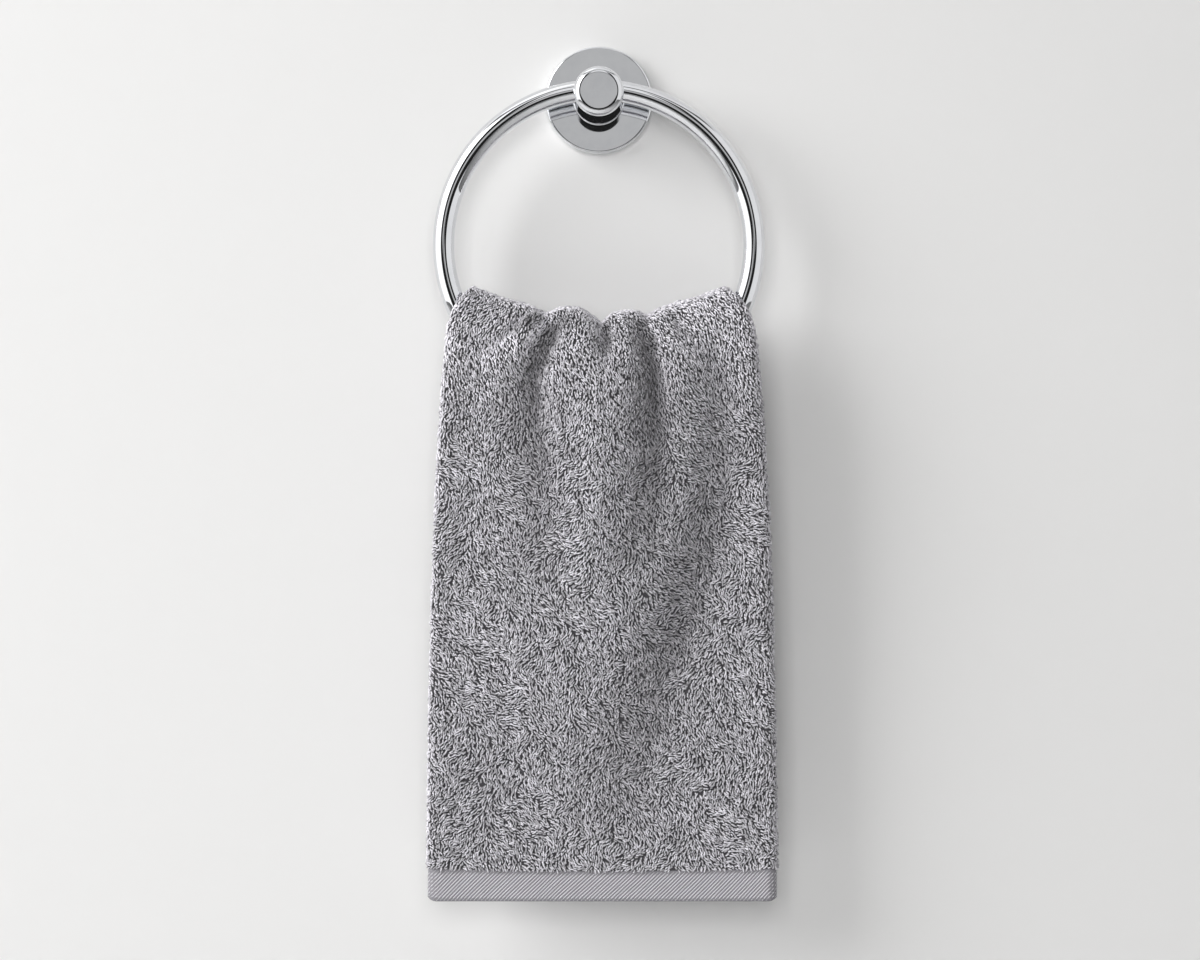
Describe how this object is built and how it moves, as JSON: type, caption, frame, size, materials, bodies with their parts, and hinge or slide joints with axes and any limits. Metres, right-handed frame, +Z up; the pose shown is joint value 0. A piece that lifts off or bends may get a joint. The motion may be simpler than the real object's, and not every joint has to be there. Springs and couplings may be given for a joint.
{
  "type": "hand towel on a wall-mounted towel ring",
  "caption": "Terry hand towel folded lengthwise and draped through a round wall-mounted ring, for drying hands beside a basin.",
  "frame": {"origin": "centre of the wall flange's back face, where it meets the wall", "axes": "+Y into the wall, +Z up, +X to the right as seen from the room"},
  "size_m": [0.203, 0.077, 0.499],
  "materials": {
    "polished_metal": "mirror-polished chrome plate",
    "terry_cloth": "grey cotton loop pile with flat twill hems"
  },
  "bodies": {
    "root": {"wall_flange": "polished_metal", "post": "polished_metal", "ring": "polished_metal", "hand_towel": "terry_cloth"}
  },
  "joints": []
}
